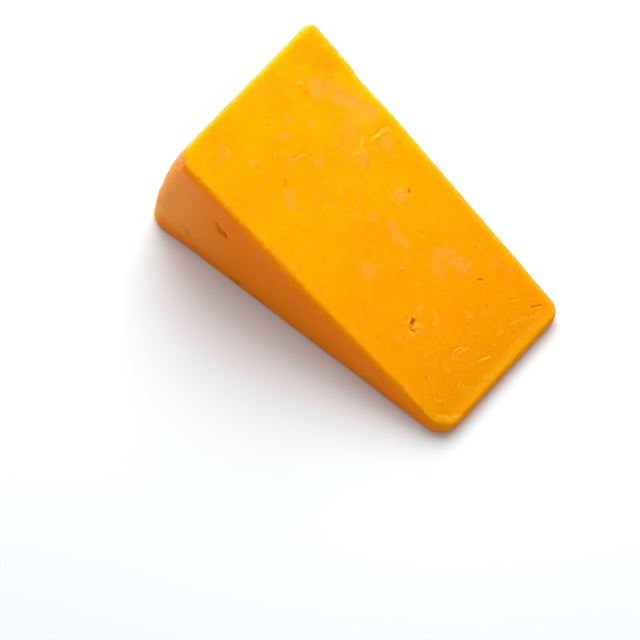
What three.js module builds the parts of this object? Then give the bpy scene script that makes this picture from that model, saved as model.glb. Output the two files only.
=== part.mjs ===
// A wedge of firm orange cheese: a sector cut from a low wheel, lying on one of
// its two cut faces, with the point of the sector trimmed off.
// Millimetres, +Z up. X runs from the thick rind end (-X) to the thin end (+X).
// The origin is the middle of the wedge's bounding box, on the face it lies on.

import * as THREE from 'three';
import { ConvexGeometry } from 'three/addons/geometries/ConvexGeometry.js';
import { mergeVertices } from 'three/addons/utils/BufferGeometryUtils.js';

// Driving dimensions. Lengths, widths and heights run to the sharp corners that
// the faces would make, before the edges are rounded off.
const baseLength = 140;
const thickHeight = 64.1;
const thinHeight = 6;
const thickWidth = 72.8;
const thinWidth = 65;
const rindSetBack = 20.4; // how far the rind leans in over its height
const rindBulge = 1.9; // how far the rind swells out past its straight chord
const rindSkew = THREE.MathUtils.degToRad(2.6); // the rind end is not quite square

// Rounding: the long and short edges around each face, and the four corners
// where a side face turns into an end face.
const topEdgeRadius = 2.6;
const baseEdgeRadius = 1.7;
const rindNearRadius = 7.6;
const rindFarRadius = 3.8;
const thinNearRadius = 8.2;
const thinFarRadius = 5.9;

const rindSteps = 6; // rings up each corner of the rind
const ringSides = 28;
const edgeSides = 16;

const cheese = new THREE.MeshStandardMaterial({
  name: 'cheese',
  color: 0xf8a010,
  roughness: 0.5,
  metalness: 0,
});

// The slope of the top face, and the largest edge radius that fits at the thin end
// between the top face, the base and the end face.
const slope = (thickHeight - thinHeight) / (baseLength - rindSetBack);
const thinEdgeLimit = thinHeight / (1 + Math.hypot(1, slope) - slope);

// A face of the wedge as a plane through a point, with its normal outwards.
function faceThrough(point, normal) {
  return new THREE.Plane().setFromNormalAndCoplanarPoint(normal.normalize(), point);
}

// The four faces that stand up, and the two that the rings lie against.
function wedgeFaces() {
  const thickX = -baseLength / 2;
  const thinX = baseLength / 2;
  const taper = (thickWidth - thinWidth) / 2 / baseLength;
  const lean = rindSetBack / thickHeight;
  const skew = Math.tan(rindSkew);
  const thickFoot = new THREE.Vector3(thickX, 0, 0);
  const thinTop = new THREE.Vector3(thinX, 0, thinHeight);
  const sidePoint = (side) => new THREE.Vector3(thickX, side * thickWidth / 2, 0);
  return {
    base: faceThrough(thickFoot, new THREE.Vector3(0, 0, -1)),
    top: faceThrough(thinTop, new THREE.Vector3(slope, 0, 1)),
    near: faceThrough(sidePoint(-1), new THREE.Vector3(taper, -1, 0)),
    far: faceThrough(sidePoint(1), new THREE.Vector3(taper, 1, 0)),
    rind: faceThrough(thickFoot, new THREE.Vector3(-1, -skew, lean)),
    thin: faceThrough(thinTop, new THREE.Vector3(1, 0, 0)),
  };
}

// Where a ring that lies against one face touches two others as well. A ring
// reaches its full corner radius within its own plane and its edge radius across it.
function ringCentre(lies, sideFace, endFace, cornerRadius, edgeRadius) {
  const faces = [lies, sideFace, endFace];
  const distances = faces.map((face) => {
    const along = face.normal.clone().projectOnPlane(lies.normal).length();
    return -face.constant - edgeRadius - (cornerRadius - edgeRadius) * along;
  });
  const [a, b, c] = faces.map((face) => face.normal);
  const rows = new THREE.Matrix3().set(a.x, a.y, a.z, b.x, b.y, b.z, c.x, c.y, c.z);
  return new THREE.Vector3(...distances).applyMatrix3(rows.invert());
}

// The surface points of a ring with its axis along a direction.
function ringPoints(centre, axis, cornerRadius, edgeRadius) {
  const ring = new THREE.TorusGeometry(cornerRadius - edgeRadius, edgeRadius, edgeSides, ringSides);
  const turn = new THREE.Quaternion().setFromUnitVectors(new THREE.Vector3(0, 0, 1), axis);
  ring.applyQuaternion(turn).translate(centre.x, centre.y, centre.z);
  const positions = ring.getAttribute('position');
  return Array.from({ length: positions.count }, (_, i) =>
    new THREE.Vector3().fromBufferAttribute(positions, i));
}

// One corner of the wedge: a ring on the base, a ring under the top face, and on
// the rind a row of rings between them that swells out as an arc.
function cornerPoints(faces, sideFace, endFace, cornerRadius, end) {
  const { headRadius, steps, bulge } = end;
  const foot = ringCentre(faces.base, sideFace, endFace, cornerRadius, baseEdgeRadius);
  const head = ringCentre(faces.top, sideFace, endFace, cornerRadius, headRadius);
  const up = new THREE.Vector3(0, 0, 1);
  const outwards = endFace.normal.clone().projectOnPlane(sideFace.normal).normalize();
  const points = [];
  for (let step = 0; step <= steps; step += 1) {
    const rise = step / steps;
    const centre = foot.clone().lerp(head, rise);
    centre.addScaledVector(outwards, 4 * bulge * rise * (1 - rise));
    const axis = up.clone().lerp(faces.top.normal, rise).normalize();
    const edgeRadius = THREE.MathUtils.lerp(baseEdgeRadius, headRadius, rise);
    points.push(...ringPoints(centre, axis, cornerRadius, edgeRadius));
  }
  return points;
}

// The wedge is the convex body stretched over the rings at its four corners.
function wedgeGeometry() {
  const faces = wedgeFaces();
  const rindEnd = {
    headRadius: topEdgeRadius,
    steps: rindSteps,
    bulge: rindBulge,
  };
  const thinEnd = {
    headRadius: Math.min(topEdgeRadius, thinEdgeLimit),
    steps: 1,
    bulge: 0,
  };
  const points = [
    ...cornerPoints(faces, faces.near, faces.rind, rindNearRadius, rindEnd),
    ...cornerPoints(faces, faces.far, faces.rind, rindFarRadius, rindEnd),
    ...cornerPoints(faces, faces.near, faces.thin, thinNearRadius, thinEnd),
    ...cornerPoints(faces, faces.far, faces.thin, thinFarRadius, thinEnd),
  ];
  const geometry = new ConvexGeometry(points);
  geometry.computeBoundingBox();
  const box = geometry.boundingBox;
  const middle = box.getCenter(new THREE.Vector3());
  geometry.translate(-middle.x, -middle.y, -box.min.z);
  geometry.deleteAttribute('normal');
  const merged = mergeVertices(geometry);
  merged.computeVertexNormals();
  return merged;
}

const wedge = new THREE.Mesh(wedgeGeometry(), cheese);
wedge.name = 'cheese_wedge';

const cheeseWedge = new THREE.Group();
cheeseWedge.add(wedge);

export default cheeseWedge;
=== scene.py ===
# A wedge of firm orange cheese lying on its cut face, on a white table.
import math
import random

import bmesh
import bpy
import numpy as np
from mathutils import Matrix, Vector, noise


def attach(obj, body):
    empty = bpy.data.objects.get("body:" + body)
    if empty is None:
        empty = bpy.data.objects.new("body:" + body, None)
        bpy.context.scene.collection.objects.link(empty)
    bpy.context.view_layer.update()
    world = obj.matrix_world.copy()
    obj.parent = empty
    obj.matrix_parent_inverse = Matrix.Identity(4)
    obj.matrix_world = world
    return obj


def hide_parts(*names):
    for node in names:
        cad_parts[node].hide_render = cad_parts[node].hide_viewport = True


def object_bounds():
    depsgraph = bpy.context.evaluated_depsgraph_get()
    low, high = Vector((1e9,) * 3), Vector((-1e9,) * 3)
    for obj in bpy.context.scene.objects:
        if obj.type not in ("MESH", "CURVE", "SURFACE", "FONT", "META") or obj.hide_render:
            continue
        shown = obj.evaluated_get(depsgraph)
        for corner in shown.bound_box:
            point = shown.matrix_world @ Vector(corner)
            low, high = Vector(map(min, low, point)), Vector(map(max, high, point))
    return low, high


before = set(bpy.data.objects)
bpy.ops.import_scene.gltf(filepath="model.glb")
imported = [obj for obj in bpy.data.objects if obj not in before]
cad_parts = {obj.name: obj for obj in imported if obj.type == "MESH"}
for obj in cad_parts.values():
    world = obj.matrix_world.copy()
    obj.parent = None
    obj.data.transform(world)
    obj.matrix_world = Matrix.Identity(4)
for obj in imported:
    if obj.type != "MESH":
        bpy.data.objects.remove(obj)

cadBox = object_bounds()
mm = 0.001


def hexColour(code):
    channels = [int(code[i:i + 2], 16) / 255 for i in (0, 2, 4)]
    linear = [c / 12.92 if c <= 0.04045 else ((c + 0.055) / 1.055) ** 2.4 for c in channels]
    return (*linear, 1.0)


def addNode(tree, kind, settings=None, links=None):
    # settings are node properties or, with an int or a socket name, input values
    node = tree.nodes.new(kind)
    for key, value in (settings or {}).items():
        if isinstance(key, int) or key in node.inputs:
            node.inputs[key].default_value = value
        else:
            setattr(node, key, value)
    for key, source in (links or {}).items():
        tree.links.new(source, node.inputs[key])
    return node


def smooth(low, high, value):
    t = np.clip((value - low) / (high - low), 0, 1)
    return t * t * (3 - 2 * t)


def unit(vector):
    return np.asarray(vector, float) / np.linalg.norm(vector)


def noiseAt(points, size, seed):
    # smooth noise of about -1 to 1, whose bumps are about size mm across
    shift = Vector((seed * 17.3, seed * -9.1, seed * 5.7))
    return np.array([noise.noise(Vector(p) / size + shift) for p in points])


wedge = {
    "node": "cheese_wedge",
    "slot": "cheese",
    "cell": 0.4,          # mm between the points of the skin while it is sculpted
    "triangles": 185000,  # kept afterwards, most of them where there is detail
    "settle": 0.3,        # mm the skin is drawn in, so that bumps stay in the solid's box
    "seed": 11,
    # the slow unevenness of every face, as (mm high, mm across, seed)
    "uneven": [(0.16, 30, 1), (0.07, 7, 2), (0.03, 2.4, 7)],
}


def denseCopy(settings):
    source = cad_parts[settings["node"]]
    bm = bmesh.new()
    bm.from_mesh(source.data)
    bmesh.ops.remove_doubles(bm, verts=bm.verts, dist=0.001 * mm)
    mesh = bpy.data.meshes.new("cheeseWedge")
    bm.to_mesh(mesh)
    bm.free()
    piece = bpy.data.objects.new("cheeseWedge", mesh)
    bpy.context.scene.collection.objects.link(piece)
    remesh = piece.modifiers.new("denseSkin", "REMESH")
    remesh.mode = "VOXEL"
    remesh.voxel_size = settings["cell"] * mm
    applyModifiers(piece)
    return piece


def applyModifiers(piece):
    graph = bpy.context.evaluated_depsgraph_get()
    finished = bpy.data.meshes.new_from_object(piece.evaluated_get(graph))
    piece.modifiers.clear()
    piece.data = finished
    finished.name = piece.name


# each flat face, with its outward normal, a point on it, and the axis that a place
# on it leaves out: x and y give a place on top, x and z on a side, y and z on an end
def findFaces(settings):
    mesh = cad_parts[settings["node"]].data
    normals = np.array([p.normal for p in mesh.polygons])
    areas = np.array([p.area for p in mesh.polygons])
    centres = np.array([p.center for p in mesh.polygons]) / mm
    looks = {
        "top": ((0.4, 0, 0.9), 2),
        "base": ((0, 0, -1), 2),
        "near": ((0, -1, 0), 1),
        "far": ((0, 1, 0), 1),
        "rind": ((-1, 0, 0.3), 0),
        "thin": ((1, 0, 0), 0),
    }
    faces = {}
    for name, (look, drop) in looks.items():
        facing = normals @ unit(look) > 0.93
        largest = np.argmax(np.where(facing, areas, 0))
        flat = facing & (normals @ normals[largest] > (0.97 if name == "rind" else 0.9999))
        faces[name] = {
            "normal": unit((normals[flat] * areas[flat, None]).sum(0)),
            "point": (centres[flat] * areas[flat, None]).sum(0) / areas[flat].sum(),
            "drop": drop,
        }
    return faces


class Skin:
    # the points being sculpted, and what the cheese is like at each of them: crumbly
    # and pale, rubbed to a bloom, torn open with painted shade, on the rind with a painted
    # sheen, in the painted shade down a side, or in the painted highlight at the rim of the top
    def __init__(self, mesh, faces):
        flat = np.empty(len(mesh.vertices) * 3)
        mesh.vertices.foreach_get("co", flat)
        self.rest = flat.reshape(-1, 3) / mm
        mesh.vertex_normals.foreach_get("vector", flat)
        self.normals = flat.reshape(-1, 3).copy()
        self.rise = np.zeros(len(self.rest))
        self.drift = np.zeros_like(self.rest)
        self.pale = np.zeros(len(self.rest))
        self.bloom = np.zeros(len(self.rest))
        self.torn = np.zeros(len(self.rest))
        self.faces = faces
        # how far each point lies behind each face, and how squarely it faces the same way
        self.depth = {name: (f["point"] - self.rest) @ f["normal"] for name, f in faces.items()}
        self.towards = {name: self.normals @ f["normal"] for name, f in faces.items()}
        upward = self.towards["top"]
        edgeDistance = np.sort(list(self.depth.values()), axis=0)[1]
        self.edge = 1 - smooth(0.82, 0.985, np.max(list(self.towards.values()), axis=0))
        # painted highlight: the yellow glow of light along the top's edges
        self.rim = smooth(5.5, 0.6, edgeDistance) * smooth(0.75, 0.97, upward)
        # painted shade: faces turned from the top are painted deeper, more so further down
        below = smooth(0.8, 5.0, self.depth["top"])
        self.side = (1 - smooth(0.3, 0.9, upward)) * (0.35 + 0.65 * below)
        self.rind = smooth(0.3, 0.8, self.towards["rind"])

    def facing(self, name, least=0.25):
        return self.towards[name] > least

    def place(self, name, spot):
        face = self.faces[name]
        normal, drop = face["normal"], face["drop"]
        full = np.insert(np.asarray(spot, float), drop, 0)
        full[drop] = (face["point"] - full) @ normal / normal[drop]
        return full

    def waver(self, amount, size, seed, where=None):
        weight = 1 if where is None else where
        self.rise += amount * weight * noiseAt(self.rest, size, seed)

    def mark(self, name, route, width, height=0.0, pale=0.0, bloom=0.0, torn=0.0,
             ragged=0.85, lip=0.0, wall=0.1):
        # a ridge (height above 0) or a slit (below 0) along a route on a face; one
        # place makes a round bump or pit, a lip lifts or sinks one side of it, the
        # wall goes from sloping at 0 to sheer at 1, and torn is painted shade inside it
        spots = [self.place(name, spot) for spot in route]
        spots = spots * 2 if len(spots) == 1 else spots
        normal = self.faces[name]["normal"]
        middle = sum(spots) / len(spots)
        reach = max(np.linalg.norm(spot - middle) for spot in spots) + 2.6 * width + 1
        within = np.linalg.norm(self.rest - middle, axis=1) < reach
        ids = np.nonzero(within & self.facing(name))[0]
        if len(ids) == 0:
            return
        points = self.rest[ids]
        gap = np.full(len(ids), 1e9)
        side = np.zeros(len(ids))
        for start, end in zip(spots, spots[1:]):
            run = end - start
            t = np.clip((points - start) @ run / max(run @ run, 1e-9), 0, 1)
            offset = points - (start + t[:, None] * run)
            offset -= np.outer(offset @ normal, normal)
            away = np.linalg.norm(offset, axis=1)
            side = np.where(away < gap, np.sign(offset @ np.cross(normal, run)), side)
            gap = np.minimum(gap, away)
        seed = int(abs(middle[0]) * 7) % 50
        broken = 0.8 + 0.8 * noiseAt(points, max(1.3 * width, 0.8), seed + 1)
        gap = gap / width + ragged * noiseAt(points, max(0.7 * width, 0.55), seed)
        core = 1 - smooth(wall, 1.0, gap)
        beside = (side > 0) * np.exp(-((gap - 1.3) / 0.5) ** 2)
        self.rise[ids] += (height * core + lip * beside) * broken
        for layer, amount in ((self.pale, pale), (self.bloom, bloom)):
            layer[ids] = np.maximum(layer[ids], amount * broken * (1 - smooth(0.2, 1.5, gap)))
        self.torn[ids] = np.maximum(self.torn[ids], torn * core)


# marks left on top by the wire and the knife, as (x, y) places in mm
topMarks = [
    # raised curls, flakes and scratches
    dict(route=[(-9.7, 22.2), (-9.1, 24.6), (-9.3, 26.4)],
         width=0.85, height=0.38, pale=0.7, lip=-0.3),
    dict(route=[(-9.3, 26.4), (-8.4, 28.4)],
         width=1.15, height=0.3, pale=0.6, ragged=1.0, lip=-0.2),
    dict(route=[(-12.2, 19.4), (-10.9, 16.7), (-9.6, 16.3), (-8.2, 16.6)],
         width=0.5, height=0.26, pale=0.9, lip=-0.14),
    dict(route=[(-9.8, 16.2), (-9.4, 14.6), (-10.3, 12.6)],
         width=0.5, height=0.24, pale=0.9, lip=-0.12),
    dict(route=[(8.4, 17.6), (7.2, 15.6), (7.7, 13.6), (8.7, 11.8)],
         width=0.45, height=0.2, pale=0.5, lip=-0.18),
    dict(route=[(-21.6, -4.8), (-21.8, -2.9), (-20.9, -0.9)],
         width=0.55, height=0.2, pale=0.6, ragged=1.0, lip=-0.1),
    dict(route=[(-27.2, -8.8), (-22.8, -3.4)], width=0.45, height=0.14, bloom=0.5),
    dict(route=[(-44.2, 12.0), (-43.6, 13.2), (-42.4, 14.0)],
         width=0.5, height=0.13, pale=0.35, ragged=1.0, lip=-0.08),
    dict(route=[(-38.4, 14.8), (-36.9, 16.7)], width=0.5, height=0.18, pale=0.7),
    dict(route=[(-32.8, 26.4), (-32.0, 27.4)], width=0.45, height=0.2, pale=0.5, lip=-0.15),
    dict(route=[(24.4, -2.9), (24.9, -1.9)], width=0.55, height=0.24, pale=0.8, lip=-0.12),
    dict(route=[(41.2, -4.7), (43.2, -5.4), (44.6, -6.8), (45.2, -7.6)],
         width=0.45, height=0.22, pale=0.8, lip=-0.15),
    dict(route=[(44.4, -6.4), (43.9, -7.9)], width=0.4, height=0.18, pale=0.6),
    dict(route=[(48.7, 4.2), (50.1, 4.5), (51.3, 4.1), (50.3, 3.2)],
         width=0.45, height=0.22, pale=0.7, lip=-0.12),
    dict(route=[(54.3, -9.2), (54.7, -7.6), (55.2, -6.3), (56.7, -5.5)],
         width=0.45, height=0.26, pale=0.8, lip=-0.2),
    dict(route=[(55.9, -8.7), (56.0, -7.4)], width=0.4, height=0.18, pale=0.6, lip=-0.12),
    dict(route=[(62.2, -4.3), (63.0, -2.6), (63.8, -0.9)],
         width=0.45, height=0.24, pale=0.8, lip=-0.18),
    dict(route=[(61.8, 14.0), (62.4, 16.2)],
         width=0.55, height=0.14, pale=0.3, ragged=1.1, lip=-0.1),
    dict(route=[(63.2, 17.6), (63.7, 19.4)],
         width=0.7, height=0.12, pale=0.3, ragged=1.1, lip=-0.08),
    dict(route=[(64.6, 20.6), (65.6, 22.6)],
         width=0.55, height=0.16, pale=0.35, ragged=1.1, lip=-0.1),
    dict(route=[(60.7, 7.0), (61.2, 9.8)], width=0.6, height=0.12, pale=0.3, ragged=1.1, lip=-0.08),
    dict(route=[(48.6, -18.6), (49.0, -17.0)], width=0.45, height=0.16, pale=0.5),
    dict(route=[(57.2, 20.6), (58.2, 22.0)], width=0.45, height=0.16, pale=0.5),
    dict(route=[(37.2, -7.6)], width=1.2, height=0.16, pale=0.5, bloom=0.5),
    dict(route=[(57.0, -15.6)], width=0.9, height=0.14, pale=0.4, bloom=0.7),
    dict(route=[(49.4, 27.1)], width=0.9, height=0.12, bloom=0.9),
    dict(route=[(31.9, -2.2)], width=0.7, height=0.14, pale=0.6),
    dict(route=[(-37.6, -20.6)], width=1.1, height=0.2, pale=0.7),
    dict(route=[(61.3, -25.8), (61.8, -24.8)], width=0.5, height=0.16, pale=0.5),
    dict(route=[(51.8, -31.2)], width=0.8, height=0.14, pale=0.6),
    dict(route=[(57.3, -31.4)], width=0.7, height=0.14, pale=0.5),
    # slits, most with one lip lifted
    dict(route=[(-5.7, 15.0), (-5.0, 14.2), (-4.3, 13.0)],
         width=0.45, height=-0.35, torn=0.55, pale=0.3, lip=0.18),
    dict(route=[(-19.5, -12.2), (-17.7, -14.2)], width=0.4, height=-0.5, torn=0.8),
    dict(route=[(-27.6, -9.2), (-25.7, -11.2)], width=0.38, height=-0.25, torn=0.4, lip=0.1),
    dict(route=[(9.3, 19.2), (9.9, 18.5)], width=0.6, height=-0.9, torn=1.0),
    dict(route=[(20.5, 12.1), (22.0, 12.0), (23.6, 12.5)],
         width=0.4, height=-0.35, torn=0.5, pale=0.3, lip=0.14),
    dict(route=[(44.3, 15.7), (45.4, 17.0)], width=0.4, height=-0.6, torn=0.8, lip=0.1),
    dict(route=[(62.7, 23.6), (63.4, 25.3), (64.6, 27.1)],
         width=0.36, height=-0.4, torn=0.55, lip=0.15),
    dict(route=[(52.0, 11.6), (52.9, 10.6)], width=0.38, height=-0.4, torn=0.5),
    dict(route=[(53.8, -23.2)], width=0.65, height=-0.35, torn=0.7),
    dict(route=[(36.3, -13.4), (36.9, -13.9)], width=0.38, height=-0.4, torn=0.7),
    # the torn hole near the thin end: two pockets, the flap between them and its rim
    dict(route=[(38.6, -12.3), (39.3, -13.3)],
         width=0.95, height=-1.3, torn=1.0, ragged=0.6, wall=0.5),
    dict(route=[(39.4, -14.5), (40.2, -15.1), (41.1, -14.8)],
         width=0.6, height=-0.9, torn=0.9, ragged=0.6),
    dict(route=[(40.0, -13.3), (41.0, -12.4), (42.1, -11.5)], width=0.95, height=0.45, pale=0.9),
    dict(route=[(37.5, -12.8), (37.9, -14.3)], width=0.6, height=0.3, pale=0.8),
    dict(route=[(40.1, -16.1), (41.7, -15.9)], width=0.6, height=0.25, pale=0.8),
    dict(route=[(38.2, -11.1)], width=0.7, height=0.25, pale=0.8),
    dict(route=[(42.4, -13.6)], width=0.7, height=0.25, pale=0.7),
    dict(route=[(36.9, -15.4)], width=0.6, height=0.2, pale=0.6),
    # nicks along the edge above the rind
    dict(route=[(-49.8, 24.6), (-49.4, 22.8)], width=0.9, height=-0.7, torn=0.15),
    dict(route=[(-50.0, 11.6)], width=1.1, height=-0.6, pale=0.3),
    dict(route=[(-50.2, -3.4), (-49.8, -5.6)], width=0.8, height=-0.5, pale=0.3),
    dict(route=[(-50.2, -16.8)], width=1.2, height=-0.5, torn=0.1),
    # the soft fold pressed up across the near thin corner
    dict(route=[(65.2, -29.8), (67.4, -28.0), (69.0, -26.2), (70.2, -23.4)],
         width=1.3, height=0.25, pale=0.35, lip=-0.15),
    # denser curd in the far corner of the thick end, and rubbed and paler patches
    dict(route=[(-44.0, 24.0), (-38.0, 29.0)], width=8.0, torn=0.3, ragged=0.3),
    dict(route=[(-33.0, 19.4), (-28.1, 23.4), (-23.4, 25.2), (-19.4, 26.8), (-16.8, 27.4)],
         width=3.4, height=-0.1, bloom=0.95),
    dict(route=[(-18.0, 21.5), (-15.0, 13.0)], width=3.6, bloom=0.42),
    dict(route=[(-6.2, 24.3)], width=2.4, bloom=0.7),
    dict(route=[(-8.4, 14.2), (-6.8, 13.0)], width=2.2, bloom=0.55),
    dict(route=[(8.0, 16.6), (8.8, 13.8)], width=2.0, bloom=0.8),
    dict(route=[(12.6, 5.8), (16.0, 4.2), (20.6, 4.2)], width=1.6, height=0.06, bloom=0.8),
    dict(route=[(29.6, 11.6), (34.4, 14.6), (38.2, 15.2)], width=2.6, height=-0.08, bloom=0.75),
    dict(route=[(31.0, 8.6), (34.6, 7.4)], width=2.2, bloom=0.5),
    dict(route=[(29.0, 11.0), (32.8, 15.8)], width=0.6, height=0.12, bloom=0.9),
    dict(route=[(34.4, 12.6), (38.6, 14.6)], width=0.6, height=0.12, bloom=0.9),
    dict(route=[(15.6, -12.4), (18.2, -12.0)], width=2.4, bloom=0.7),
    dict(route=[(44.0, 24.4)], width=2.2, bloom=0.5),
    dict(route=[(-32.8, 3.4)], width=1.6, bloom=0.7),
    dict(route=[(-26.5, 8.8)], width=1.7, bloom=0.8),
    dict(route=[(-29.6, -2.2), (-29.2, -0.8)], width=1.2, bloom=0.8),
    dict(route=[(-15.6, -14.4)], width=1.6, bloom=0.8),
    dict(route=[(-13.0, -16.6)], width=1.6, bloom=0.7),
    dict(route=[(-16.0, 1.0)], width=1.5, bloom=0.7),
    dict(route=[(-9.2, -6.1)], width=1.4, bloom=0.7),
    dict(route=[(3.4, -2.2)], width=1.3, bloom=0.7),
    dict(route=[(7.2, 2.6)], width=1.4, bloom=0.7),
    dict(route=[(-29.9, -16.4)], width=1.4, bloom=0.7),
    dict(route=[(-22.6, -6.4)], width=1.6, bloom=0.6),
    dict(route=[(-40.0, -21.0), (-37.0, -23.0)], width=1.4, bloom=0.4),
]

# and on the near side, as (x, z)
nearMarks = [
    # the tear-shaped eye, with the crumb hanging at its rim
    dict(route=[(-30.4, 36.6), (-29.0, 34.8)],
         width=1.3, height=-1.3, torn=0.9, ragged=0.25, wall=0.6),
    dict(route=[(-28.7, 34.2), (-28.0, 32.8)],
         width=2.7, height=-2.6, torn=0.6, ragged=0.25, wall=0.5),
    dict(route=[(-28.4, 35.2), (-27.2, 34.0), (-26.4, 32.4)],
         width=1.0, height=-0.6, torn=1.0, ragged=0.4),
    dict(route=[(-28.8, 31.9), (-27.2, 31.2)], width=1.2, height=0.3, pale=0.8),
    dict(route=[(-28.4, 37.2), (-26.9, 36.2)], width=0.6, height=0.35, bloom=0.7),
    dict(route=[(-46.5, 15.2), (-45.6, 12.4)],
         width=2.2, height=-0.6, torn=0.3, ragged=0.25, wall=0.3),
    dict(route=[(-25.4, 2.4), (-22.2, 3.6)], width=1.6, height=-1.1, torn=0.6),
    dict(route=[(-38.9, 38.5), (-37.0, 37.6)], width=0.5, height=0.2, bloom=0.9, lip=-0.12),
    dict(route=[(-40.2, 49.6), (-38.0, 49.8)], width=0.5, height=0.12, bloom=0.7),
    dict(route=[(-45.4, 45.6), (-44.6, 44.4)], width=0.5, height=0.14, bloom=0.6),
    dict(route=[(-24.4, 35.8), (-23.6, 34.8)], width=0.6, height=0.12, bloom=0.7),
    dict(route=[(-36.4, 24.6), (-35.6, 23.4)], width=0.6, height=0.1, bloom=0.6),
    dict(route=[(-12.0, 17.0)], width=0.8, height=0.14, bloom=0.6),
    dict(route=[(-2.4, 19.6)], width=0.7, height=0.12, bloom=0.5),
]

# the far side, the rind (y, z) and the thin end carry a few marks of the same kinds
hiddenMarks = {
    "far": [
        dict(route=[(-34.0, 30.0), (-32.4, 28.4)], width=1.4, height=-1.0, torn=0.7, ragged=0.25),
        dict(route=[(-8.0, 17.0), (-5.2, 18.4)], width=0.5, height=-0.6, torn=0.7, lip=0.15),
        dict(route=[(14.0, 12.0)], width=1.7, height=-0.7, torn=0.5, ragged=0.25),
        dict(route=[(-20.0, 38.0), (-17.0, 36.0), (-16.0, 33.4)],
             width=0.5, height=0.25, pale=0.7, lip=-0.15),
        dict(route=[(-48.0, 20.0), (-42.0, 24.0)], width=2.6, bloom=0.7),
    ],
    "rind": [
        dict(route=[(-12.0, 40.0), (-6.0, 38.6), (1.0, 39.2)], width=0.6, height=-0.35, torn=0.3),
        dict(route=[(14.0, 26.0), (18.0, 22.0)], width=0.5, height=-0.4, torn=0.5, lip=0.12),
        dict(route=[(-20.0, 22.0)], width=1.4, height=-0.6, torn=0.5, ragged=0.3),
        dict(route=[(6.0, 14.0), (12.0, 17.0)], width=2.4, bloom=0.6),
    ],
}


def scatterMarks(skin, settings):
    # how many small nicks, crumbs and scratches lie between the ones listed
    dice = random.Random(settings["seed"])
    counts = {"top": (16, 40, 26), "near": (6, 12, 8), "far": (9, 16, 10), "rind": (12, 14, 8),
              "thin": (1, 3, 1), "base": (26, 0, 14)}
    for name, (nicks, crumbs, scratches) in counts.items():
        inside = skin.rest[skin.facing(name, 0.99)]
        drop = skin.faces[name]["drop"]

        def somewhere():
            return np.delete(inside[dice.randrange(len(inside))], drop)

        for _ in range(nicks):
            skin.mark(name, [somewhere()], dice.uniform(0.4, 0.7), -dice.uniform(0.15, 0.4),
                      torn=dice.uniform(0.1, 0.4))
        for _ in range(crumbs):
            skin.mark(name, [somewhere()], dice.uniform(0.4, 0.9), dice.uniform(0.04, 0.14),
                      pale=dice.uniform(0.0, 0.4), bloom=dice.uniform(0.2, 0.8))
        for _ in range(scratches):
            start = somewhere()
            turn = dice.uniform(0, math.tau)
            length = dice.uniform(1.0, 2.8)
            bend = dice.uniform(-0.9, 0.9)
            middle = start + 0.5 * length * np.array((math.cos(turn), math.sin(turn)))
            end = middle + 0.5 * length * np.array((math.cos(turn + bend), math.sin(turn + bend)))
            raised = name != "base" and dice.random() < 0.6
            height = dice.uniform(0.06, 0.14) if raised else -dice.uniform(0.1, 0.22)
            skin.mark(name, [start, middle, end], dice.uniform(0.35, 0.5), height,
                      pale=0.35 if raised else 0, lip=-0.5 * height)

    # loose crumbs gather along the near edge at the thick end, and at the thin end
    for _ in range(46):
        spot = (-44 + 50 * dice.random() ** 1.4, -34.5 + 6.5 * dice.random() ** 2)
        skin.mark("top", [spot], dice.uniform(0.35, 0.65), dice.uniform(0.04, 0.16),
                  pale=dice.uniform(0.1, 0.8))
    for _ in range(26):
        spot = (68.5 - 7 * dice.random() ** 1.5, dice.uniform(-28, 28))
        skin.mark("top", [spot], dice.uniform(0.4, 0.8), dice.uniform(0.06, 0.2),
                  pale=dice.uniform(0.1, 0.5))


edges = {
    "waver": 0.22,        # mm that the long edges wander
    "ripple": 0.12,       # and the shorter waves on that
    "crumble": 0.3,       # mm lost where a crumb has broken away
    "rindCrumble": 0.25,  # and how much more at the thick end
    "worn": 0.3,          # mm worn off the near edge of the top
    "bite": 0.6,          # mm, the shallow bite out of the far edge
    "footHeight": 11,     # mm, the moulded foot under the rind
    "footCorner": 8,      # and how much taller it is at the near corner
    "recess": 0.45,       # mm that the rind lies behind its foot
    "undercut": 0.95,     # mm that the sides draw in where they meet the table
}


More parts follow.
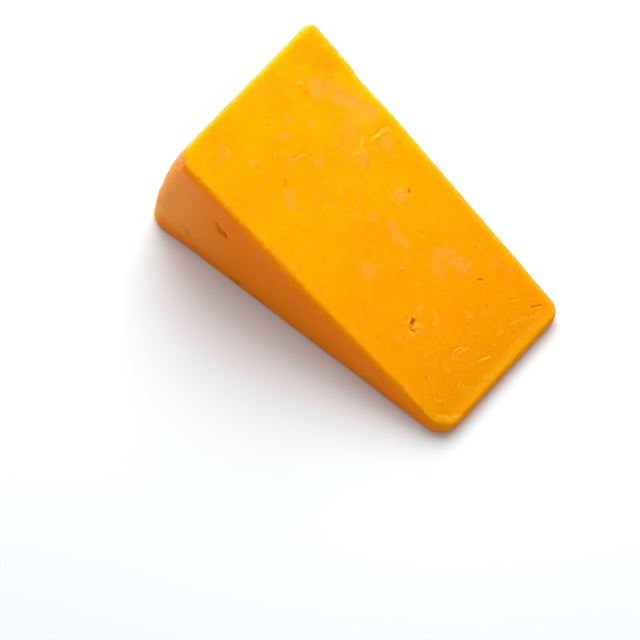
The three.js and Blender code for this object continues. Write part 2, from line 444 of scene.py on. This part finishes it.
def shapeEdges(skin, settings):
    x, y, z = skin.rest.T
    depth, towards = skin.depth, skin.towards

    # the long edges waver, and here and there a crumb has broken away from them
    skin.waver(settings["waver"], 16, 3, skin.edge)
    skin.waver(settings["ripple"], 4, 4, skin.edge)
    crumbled = skin.edge * smooth(0.32, 0.6, noiseAt(skin.rest, 2.6, 5))
    skin.rise -= (settings["crumble"] + settings["rindCrumble"] * smooth(-38, -50, x)) * crumbled
    skin.pale = np.maximum(skin.pale, 0.35 * crumbled)

    # a long shallow bite out of the far edge, stepped at its thick end
    bite = smooth(12, 3, depth["top"]) * smooth(26, 35, y)
    bite = bite * smooth(-31, -28, x) * smooth(-12, -25, x)
    skin.drift[:, 1] -= settings["bite"] * bite

    # the near edge of the top is worn rounder than the others
    skin.rise -= settings["worn"] * smooth(4.5, 0.6, depth["near"]) * smooth(4.5, 0.6, depth["top"])

    # a moulded foot stands out along the bottom of the rind, clear of its bloom and of the painted
    # shade of the sides
    footTop = settings["footHeight"] + settings["footCorner"] * smooth(-18, -34, y)
    footTop -= 3.5 * noiseAt(skin.rest, 11, 6) + 1.2 * noiseAt(skin.rest, 3.5, 13)
    foot = smooth(3, -3, z - footTop)
    skin.rise -= settings["recess"] * skin.rind * (1 - foot)
    skin.side *= 1 - 0.85 * foot * smooth(0.05, 0.5, towards["rind"])
    skin.waver(0.13, 5, 21, skin.rind)
    skin.waver(0.12, 1.9, 22, skin.rind)
    skin.rind *= 1 - foot
    skin.rind *= 0.85 + 0.35 * noiseAt(skin.rest, 9, 12) + 0.3 * noiseAt(skin.rest, 2.4, 15)

    # painted sheen: the near side is painted paler towards the rind, away from its top and its foot
    sheenPatch = smooth(0.3, 0.8, towards["near"]) * smooth(-22, -52, x + 6 * noiseAt(skin.rest, 18, 8))
    aboveFoot = 1 - smooth(13, 5, z + 2 * noiseAt(skin.rest, 14, 14))
    sheenPatch *= smooth(2.0, 6.5, depth["top"]) * aboveFoot
    skin.rind = np.clip(np.maximum(skin.rind, 0.58 * sheenPatch), 0, 1)

    # the cheese lifts a little off the table all round its foot
    upright = 1 - np.abs(skin.normals[:, 2])
    skin.rise -= settings["undercut"] * upright * smooth(2.6, 0.4, z)


def triangleCount(piece):
    return sum(len(p.vertices) - 2 for p in piece.data.polygons)


def settleSkin(piece, skin, settings):
    # the underside stays on the table, and only its nicks go up into it
    under = smooth(0.4, 0.95, skin.towards["base"])
    move = skin.rise - settings["settle"]
    move = np.where(under > 0, (1 - under) * move + under * np.minimum(skin.rise, 0), move)
    points = skin.rest + skin.drift + skin.normals * move[:, None]
    low, high = (np.array(corner) / mm for corner in cadBox)
    points = np.clip(points, low, high)
    piece.data.vertices.foreach_set("co", (points * mm).ravel())
    for name in ("pale", "bloom", "torn", "side", "rind", "rim"):
        values = getattr(skin, name)
        attribute = piece.data.attributes.new(name, "FLOAT", "POINT")
        attribute.data.foreach_set("value", values)
    piece.data.update()
    # keep the small faces only where the surface needs them
    thin = piece.modifiers.new("thinFlatParts", "DECIMATE")
    thin.ratio = settings["triangles"] / triangleCount(piece)
    applyModifiers(piece)
    piece.data.shade_smooth()


print("wedge: dense copy of the solid")
piece = denseCopy(wedge)
skin = Skin(piece.data, findFaces(wedge))
print("wedge: sculpting", len(skin.rest), "points")
for amount, size, seed in wedge["uneven"]:
    skin.waver(amount, size, seed)
shapeEdges(skin, edges)
for name, marks in {"top": topMarks, "near": nearMarks, **hiddenMarks}.items():
    for mark in marks:
        skin.mark(name, **mark)
scatterMarks(skin, wedge)
settleSkin(piece, skin, wedge)
print("wedge:", triangleCount(piece), "triangles")


# Firm annatto-coloured cheese, cut with a wire: satin and slightly greasy, and
# translucent, so that light soaks in and softens every edge and pit.
cheeseLook = {
    "body": "fc9d00",     # the annatto orange of the paste
    "deep": "fa9600",     # a little deeper where the curd is denser
    "thin": "dc8b00",     # and towards the thin end, painted shade where the light falls off
    "side": "fa7c00",     # painted shade: and deeper again down the sides, which are turned from the light
    "rind": "f1a84a",     # the drier skin at the thick end, painted paler and bluer for its sheen, which is also painted on the near side beside it
    "rim": "ffac0c",      # the yellower line that light makes of every edge
    "fleck": "ffb43c",    # dried crumbs and raised burrs
    "bloom": "f69838",    # paler, pinker curd
    "pitShade": "b86804",      # painted shade inside tears and pits
    "cloud": 14,          # mm across the broad mottling
    "curd": 2.2,          # mm across a pale curd fleck
    "speck": 1.1,         # and across a speck of dry crumb
    "grain": 0.8,         # mm across the finest surface grain
    "cutLine": 1.3,       # mm between the faint lines the wire drew along the sides
    "relief": 0.13,       # mm, the depth of the grain and of those lines
    "bump": 0.5,
    "roughness": 0.48,
    "thinShadeFrom": 0,        # mm along the wedge, where the painted shade of the thin end begins
    "thinShadeTo": 72,         # and where it is full
    "shine": 0.03,        # a faint greasy sheen, warmed by the cheese under it
    "shineTint": (1.0, 0.7, 0.08, 1.0),
    "scatter": 0.5,       # share of the light that soaks in
    "scatterReach": 0.011,  # metres that red light travels inside
    "scatterTint": (1.0, 0.42, 0.06),
}


def cheeseMaterial(look):
    material = bpy.data.materials.new("annattoCheese")
    material.use_nodes = True
    tree = material.node_tree
    tree.nodes.clear()
    place = addNode(tree, "ShaderNodeTexCoord").outputs["Object"]

    def speckle(size, detail, low, high):
        # 0 to 1 over a noise whose patches are about size mm across
        field = addNode(tree, "ShaderNodeTexNoise", {
            "Scale": 1 / (size * mm), "Detail": detail, "Roughness": 0.55}, {"Vector": place})
        return addNode(tree, "ShaderNodeMapRange", {
            "interpolation_type": "SMOOTHSTEP", "From Min": low, "From Max": high},
            {"Value": field.outputs[0]}).outputs[0]

    def blend(factor, under, over):
        node = addNode(tree, "ShaderNodeMix", {"data_type": "RGBA"})
        tree.links.new(factor, node.inputs[0])
        for socket, value in ((node.inputs[6], under), (node.inputs[7], over)):
            if isinstance(value, str):
                socket.default_value = hexColour(value)
            else:
                tree.links.new(value, socket)
        return node.outputs[2]

    def share(factor, amount):
        return addNode(tree, "ShaderNodeMath", {
            "operation": "MULTIPLY", 1: amount}, {0: factor}).outputs[0]

    def painted(name):
        return addNode(tree, "ShaderNodeAttribute", {"attribute_name": name}).outputs["Fac"]

    along = addNode(tree, "ShaderNodeSeparateXYZ", {}, {0: place}).outputs["X"]
    # painted shade: darker towards the thin end, where the softbox's light falls off
    thinEndShade = addNode(tree, "ShaderNodeMapRange", {
        "From Min": look["thinShadeFrom"] * mm, "From Max": look["thinShadeTo"] * mm},
        {"Value": along}).outputs[0]
    colour = blend(speckle(look["cloud"], 2, 0.35, 0.65), look["body"], look["deep"])
    # each layer covers the ones before it; the thin end, side and pit layers are painted shade, the
    # rim layer a painted highlight, and the rind layer the rind's colour with a painted sheen
    layers = [
        (thinEndShade, "thin"),
        (painted("side"), "side"),
        (share(painted("rind"), 0.8), "rind"),
        (share(painted("rim"), 0.55), "rim"),
        (share(speckle(look["curd"], 3, 0.58, 0.72), 0.34), "bloom"),
        (share(speckle(look["speck"], 2, 0.66, 0.76), 0.3), "fleck"),
        (share(painted("bloom"), 0.75), "bloom"),
        (share(painted("pale"), 0.55), "fleck"),
        (share(painted("torn"), 0.7), "pitShade"),
    ]
    for factor, layer in layers:
        colour = blend(factor, colour, look[layer])
    rough = addNode(tree, "ShaderNodeMapRange", {
        "To Min": look["roughness"] - 0.06, "To Max": look["roughness"] + 0.1},
        {"Value": speckle(look["curd"] * 2, 2, 0.3, 0.7)}).outputs[0]
    grain = addNode(tree, "ShaderNodeTexNoise", {
        "Scale": 1 / (look["grain"] * mm), "Detail": 3, "Roughness": 0.5}, {"Vector": place})
    stretched = addNode(tree, "ShaderNodeVectorMath", {
        "operation": "MULTIPLY", 1: (0.1, 1.0, 1.0)}, {0: place})
    drawn = addNode(tree, "ShaderNodeTexNoise", {
        "Scale": 1 / (look["cutLine"] * mm), "Detail": 2, "Roughness": 0.5},
        {"Vector": stretched.outputs[0]})
    lines = addNode(tree, "ShaderNodeMath", {
        "operation": "MULTIPLY"}, {0: drawn.outputs[0], 1: painted("side")})
    height = addNode(tree, "ShaderNodeMath", {
        "operation": "ADD"}, {0: grain.outputs[0], 1: lines.outputs[0]})
    bump = addNode(tree, "ShaderNodeBump", {
        "Strength": look["bump"], "Distance": look["relief"] * mm}, {"Height": height.outputs[0]})
    shader = addNode(tree, "ShaderNodeBsdfPrincipled", {
        "Specular IOR Level": look["shine"],
        "Specular Tint": look["shineTint"],
        "Subsurface Weight": look["scatter"],
        "Subsurface Radius": look["scatterTint"],
        "Subsurface Scale": look["scatterReach"],
    }, {"Base Color": colour, "Roughness": rough, "Normal": bump.outputs[0]})
    addNode(tree, "ShaderNodeOutputMaterial", {}, {"Surface": shader.outputs[0]})
    return material


piece.data.materials.clear()
piece.data.materials.append(cheeseMaterial(cheeseLook))
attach(piece, "root")
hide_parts(wedge["node"])


studio = {
    "floor": "dbdfe1",
    "floorSize": 6.0,
    "farLift": 0.64,      # light added to the far table, so that it stays pale to its end
    "liftFrom": 0.15,     # which starts this far out, in metres
    "liftTo": 0.65,       # and is full here
    "wall": "f3f3f4",
    "horizon": 0.09,      # brightness of the surroundings at table height
    "zenith": 0.56,       # and straight above
    "skyFrom": 0.05,      # heights between which one turns into the other
    "skyTo": 0.6,
    "keyAzimuth": 128,
    "keyElevation": 56,
    "keyDistance": 0.47,
    "keySize": 0.56,
    "keyPower": 4.65,
    "keyAim": (0, 0, 0.02),
    "lens": 100,
    "sensor": 36,
    "cameraAzimuth": -48.49,
    "cameraElevation": 63.59,
    "cameraDistance": 0.6278,
    "aim": (0.00753, -0.02528, 0.0),
}


def direction(azimuth, elevation):
    a, e = math.radians(azimuth), math.radians(elevation)
    return Vector((math.cos(a) * math.cos(e), math.sin(a) * math.cos(e), math.sin(e)))


def pointAt(thing, target):
    thing.rotation_euler = (Vector(target) - thing.location).to_track_quat("-Z", "Y").to_euler()


def buildStudio(settings):
    bm = bmesh.new()
    bmesh.ops.create_grid(bm, x_segments=1, y_segments=1, size=settings["floorSize"] / 2)
    mesh = bpy.data.meshes.new("table")
    bm.to_mesh(mesh)
    bm.free()
    table = bpy.data.objects.new("table", mesh)
    bpy.context.scene.collection.objects.link(table)
    paint = bpy.data.materials.new("whiteTable")
    paint.use_nodes = True
    shader = paint.node_tree.nodes["Principled BSDF"]
    shader.inputs["Base Color"].default_value = hexColour(settings["floor"])
    shader.inputs["Roughness"].default_value = 0.9
    shader.inputs["Specular IOR Level"].default_value = 0.1
    # the table is lit on its own further out, where the softbox no longer reaches
    spot = addNode(paint.node_tree, "ShaderNodeTexCoord").outputs["Object"]
    away = addNode(paint.node_tree, "ShaderNodeVectorMath", {
        "operation": "LENGTH"}, {0: spot}).outputs["Value"]
    lift = addNode(paint.node_tree, "ShaderNodeMapRange", {
        "interpolation_type": "SMOOTHSTEP",
        "From Min": settings["liftFrom"],
        "From Max": settings["liftTo"],
        "To Max": settings["farLift"],
    }, {"Value": away}).outputs[0]
    shader.inputs["Emission Color"].default_value = (1, 1, 1, 1)
    paint.node_tree.links.new(lift, shader.inputs["Emission Strength"])
    table.data.materials.append(paint)

    world = bpy.data.worlds.new("studio")
    bpy.context.scene.world = world
    world.use_nodes = True
    tree = world.node_tree
    tree.nodes.clear()
    where = addNode(tree, "ShaderNodeTexCoord")
    split = addNode(tree, "ShaderNodeSeparateXYZ", {}, {0: where.outputs["Generated"]})
    level = addNode(tree, "ShaderNodeMapRange", {
        "interpolation_type": "SMOOTHSTEP",
        "From Min": settings["skyFrom"],
        "From Max": settings["skyTo"],
        "To Min": settings["horizon"],
        "To Max": settings["zenith"],
    }, {"Value": split.outputs["Z"]})
    sky = addNode(tree, "ShaderNodeBackground", {
        "Color": (1, 1, 1, 1)}, {"Strength": level.outputs[0]})
    # behind the table the eye meets a plain pale wall, not the dim room that lights it
    wall = addNode(tree, "ShaderNodeBackground", {
        "Color": hexColour(settings["wall"]), "Strength": 1.0})
    seen = addNode(tree, "ShaderNodeLightPath").outputs["Is Camera Ray"]
    both = addNode(tree, "ShaderNodeMixShader", {}, {
        0: seen, 1: sky.outputs[0], 2: wall.outputs[0]})
    addNode(tree, "ShaderNodeOutputWorld", {}, {"Surface": both.outputs[0]})

    light = bpy.data.lights.new("softbox", "AREA")
    light.shape = "SQUARE"
    light.size = settings["keySize"]
    light.energy = settings["keyPower"]
    key = bpy.data.objects.new("softbox", light)
    bpy.context.scene.collection.objects.link(key)
    fromAim = direction(settings["keyAzimuth"], settings["keyElevation"])
    key.location = fromAim * settings["keyDistance"]
    pointAt(key, settings["keyAim"])

    lens = bpy.data.cameras.new("camera")
    lens.lens = settings["lens"]
    lens.sensor_width = settings["sensor"]
    lens.clip_start = 0.01
    camera = bpy.data.objects.new("camera", lens)
    bpy.context.scene.collection.objects.link(camera)
    aim = Vector(settings["aim"])
    towards = direction(settings["cameraAzimuth"], settings["cameraElevation"])
    camera.location = aim + towards * settings["cameraDistance"]
    pointAt(camera, aim)
    bpy.context.scene.camera = camera
    bpy.context.scene.view_settings.view_transform = "Standard"


print("studio")
buildStudio(studio)
